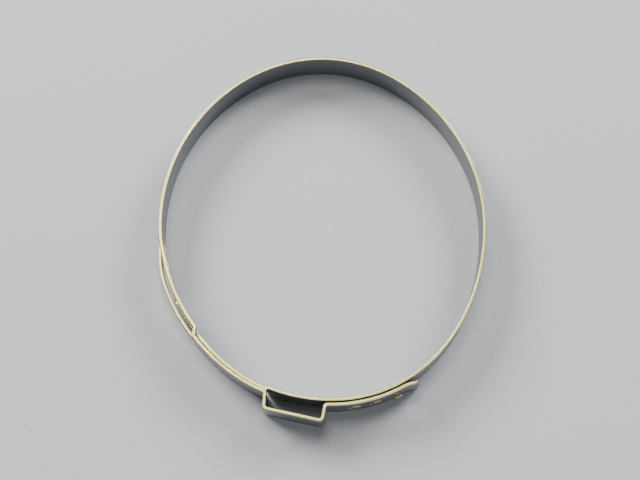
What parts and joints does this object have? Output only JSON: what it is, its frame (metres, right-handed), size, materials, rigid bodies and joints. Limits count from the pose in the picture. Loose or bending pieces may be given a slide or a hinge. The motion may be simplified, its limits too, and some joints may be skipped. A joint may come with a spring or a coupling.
{
  "type": "stepless ear hose clamp",
  "caption": "Stepless ear clamp of one steel strip: crimping ear, windowed strap on hooks, and a tongue sliding in a channel.",
  "frame": {"origin": "centre of the clamp's footprint on the surface it lies on, at its lower side edge", "axes": "+Z along the ring's axis; -Y towards the ear; +X towards the strap's side"},
  "size_m": [0.0752, 0.086, 0.01],
  "materials": {
    "band_steel": "rolled stainless strip, satin, warm deburred edges",
    "ear_steel": "formed stainless strip, satin with bright bends",
    "channel_steel": "pressed stainless strip, satin",
    "tongue_steel": "stainless tongue, satin, slightly straw-tinted",
    "hook_steel": "sheared stainless hooks, bright"
  },
  "bodies": {
    "band_top": {"main_band_top": "band_steel"},
    "band_left_1": {"main_band_left_1": "band_steel"},
    "band_left_2": {"main_band_left_2": "band_steel"},
    "band_left_3": {"main_band_left_3": "band_steel"},
    "tongue_channel": {"channel_rail_lower": "channel_steel", "channel_rail_upper": "channel_steel", "channel_bridge": "channel_steel"},
    "outer_band": {"outer_band": "band_steel"},
    "ear_left_leg": {"ear_left_leg": "ear_steel"},
    "ear_crown": {"ear_crown": "ear_steel"},
    "ear_right_leg": {"ear_right_leg": "ear_steel"},
    "strap_root": {"strap_root": "band_steel"},
    "strap": {"strap": "band_steel"},
    "band_right_1": {"main_band_right_1": "band_steel"},
    "band_right_2": {"main_band_right_2": "band_steel"},
    "band_right_3": {"main_band_right_3": "band_steel"},
    "band_right_4": {"main_band_right_4": "band_steel"},
    "inner_band_entry": {"inner_band_entry": "band_steel"},
    "inner_band_latch": {"inner_band_latch": "band_steel", "support_hook_1": "hook_steel", "support_hook_2": "hook_steel", "guide_hook": "hook_steel"},
    "inner_band_ear": {"inner_band_ear": "band_steel"},
    "tongue": {"tongue": "tongue_steel"}
  },
  "joints": [
    {"name": "ear_crimp", "type": "hinge", "parent": "outer_band", "child": "ear_left_leg", "pos_m": [-0.01325, -0.03649, 0.005], "axis": [0, 0, -1], "range_deg": [0, 62]},
    {"name": "ear_crown_left_bend", "type": "hinge", "parent": "ear_left_leg", "child": "ear_crown", "pos_m": [-0.01249, -0.03948, 0.005], "axis": [0, 0, 1], "range_deg": [-0.2, 59.84]},
    {"name": "ear_crown_right_bend", "type": "hinge", "parent": "ear_crown", "child": "ear_right_leg", "pos_m": [-0.0004, -0.04211, 0.005], "axis": [0, 0, 1], "range_deg": [-0.2, 56.59]},
    {"name": "ear_right_foot_bend", "type": "hinge", "parent": "ear_right_leg", "child": "strap_root", "pos_m": [0.0011, -0.03955, 0.005], "axis": [0, 0, -1], "range_deg": [-0.2, 61.67]},
    {"name": "band_left_1_flexure", "type": "hinge", "parent": "band_top", "child": "band_left_1", "pos_m": [-0.00333, 0.04241, 0.005], "axis": [0, 0, 1], "range_deg": [-0.2, 0.7]},
    {"name": "band_left_2_flexure", "type": "hinge", "parent": "band_left_1", "child": "band_left_2", "pos_m": [-0.02177, 0.03466, 0.005], "axis": [0, 0, 1], "range_deg": [-0.2, 0.88]},
    {"name": "band_left_3_flexure", "type": "hinge", "parent": "band_left_2", "child": "band_left_3", "pos_m": [-0.03353, 0.01927, 0.005], "axis": [0, 0, 1], "range_deg": [-0.2, 0.88]},
    {"name": "tongue_channel_flexure", "type": "hinge", "parent": "band_left_3", "child": "tongue_channel", "pos_m": [-0.03702, 0.00079, 0.005], "axis": [0, 0, 1], "range_deg": [-0.2, 1.02]},
    {"name": "outer_band_flexure", "type": "hinge", "parent": "tongue_channel", "child": "outer_band", "pos_m": [-0.02807, -0.02473, 0.005], "axis": [0, 0, 1], "range_deg": [-0.2, 1.01]},
    {"name": "band_right_1_flexure", "type": "hinge", "parent": "band_top", "child": "band_right_1", "pos_m": [0.01626, 0.03816, 0.005], "axis": [0, 0, -1], "range_deg": [-0.2, 0.8]},
    {"name": "band_right_2_flexure", "type": "hinge", "parent": "band_right_1", "child": "band_right_2", "pos_m": [0.03038, 0.02484, 0.005], "axis": [0, 0, -1], "range_deg": [-0.2, 0.99]},
    {"name": "band_right_3_flexure", "type": "hinge", "parent": "band_right_2", "child": "band_right_3", "pos_m": [0.03691, 0.00725, 0.005], "axis": [0, 0, -1], "range_deg": [-0.2, 0.99]},
    {"name": "band_right_4_flexure", "type": "hinge", "parent": "band_right_3", "child": "band_right_4", "pos_m": [0.03522, -0.01136, 0.005], "axis": [0, 0, -1], "range_deg": [-0.2, 0.99]},
    {"name": "inner_band_latch_flexure", "type": "hinge", "parent": "inner_band_entry", "child": "inner_band_latch", "pos_m": [0.02558, -0.02817, 0.005], "axis": [0, 0, -1], "range_deg": [-0.2, 1.08]},
    {"name": "inner_band_ear_flexure", "type": "hinge", "parent": "inner_band_latch", "child": "inner_band_ear", "pos_m": [0.003, -0.03797, 0.005], "axis": [0, 0, -1], "range_deg": [-0.2, 0.98]},
    {"name": "tongue_flexure", "type": "hinge", "parent": "inner_band_ear", "child": "tongue", "pos_m": [-0.01184, -0.03539, 0.005], "axis": [0, 0, -1], "range_deg": [-0.2, 1.12]},
    {"name": "strap_lift", "type": "hinge", "parent": "strap_root", "child": "strap", "pos_m": [0.00322, -0.03906, 0.005], "axis": [0, 0, -1], "range_deg": [0, 14], "stiffness_Nm_per_rad": 0.02},
    {"name": "inner_band_release", "type": "hinge", "parent": "band_right_4", "child": "inner_band_entry", "pos_m": [0.03063, -0.02169, 0.005], "axis": [0, 0, -1], "range_deg": [0, 12], "stiffness_Nm_per_rad": 0.02}
  ],
  "couplings": [
    {"joint": "ear_crown_left_bend", "follows": "ear_crimp", "ratio": 0.962},
    {"joint": "ear_crown_right_bend", "follows": "ear_crimp", "ratio": 0.9095},
    {"joint": "ear_right_foot_bend", "follows": "ear_crimp", "ratio": 0.9914},
    {"joint": "band_left_1_flexure", "follows": "ear_crimp", "ratio": 0.0081},
    {"joint": "band_left_2_flexure", "follows": "ear_crimp", "ratio": 0.011},
    {"joint": "band_left_3_flexure", "follows": "ear_crimp", "ratio": 0.011},
    {"joint": "tongue_channel_flexure", "follows": "ear_crimp", "ratio": 0.0133},
    {"joint": "outer_band_flexure", "follows": "ear_crimp", "ratio": 0.013},
    {"joint": "band_right_1_flexure", "follows": "ear_crimp", "ratio": 0.0096},
    {"joint": "band_right_2_flexure", "follows": "ear_crimp", "ratio": 0.0127},
    {"joint": "band_right_3_flexure", "follows": "ear_crimp", "ratio": 0.0127},
    {"joint": "band_right_4_flexure", "follows": "ear_crimp", "ratio": 0.0127},
    {"joint": "inner_band_latch_flexure", "follows": "ear_crimp", "ratio": 0.0142},
    {"joint": "inner_band_ear_flexure", "follows": "ear_crimp", "ratio": 0.0126},
    {"joint": "tongue_flexure", "follows": "ear_crimp", "ratio": 0.0149}
  ]
}
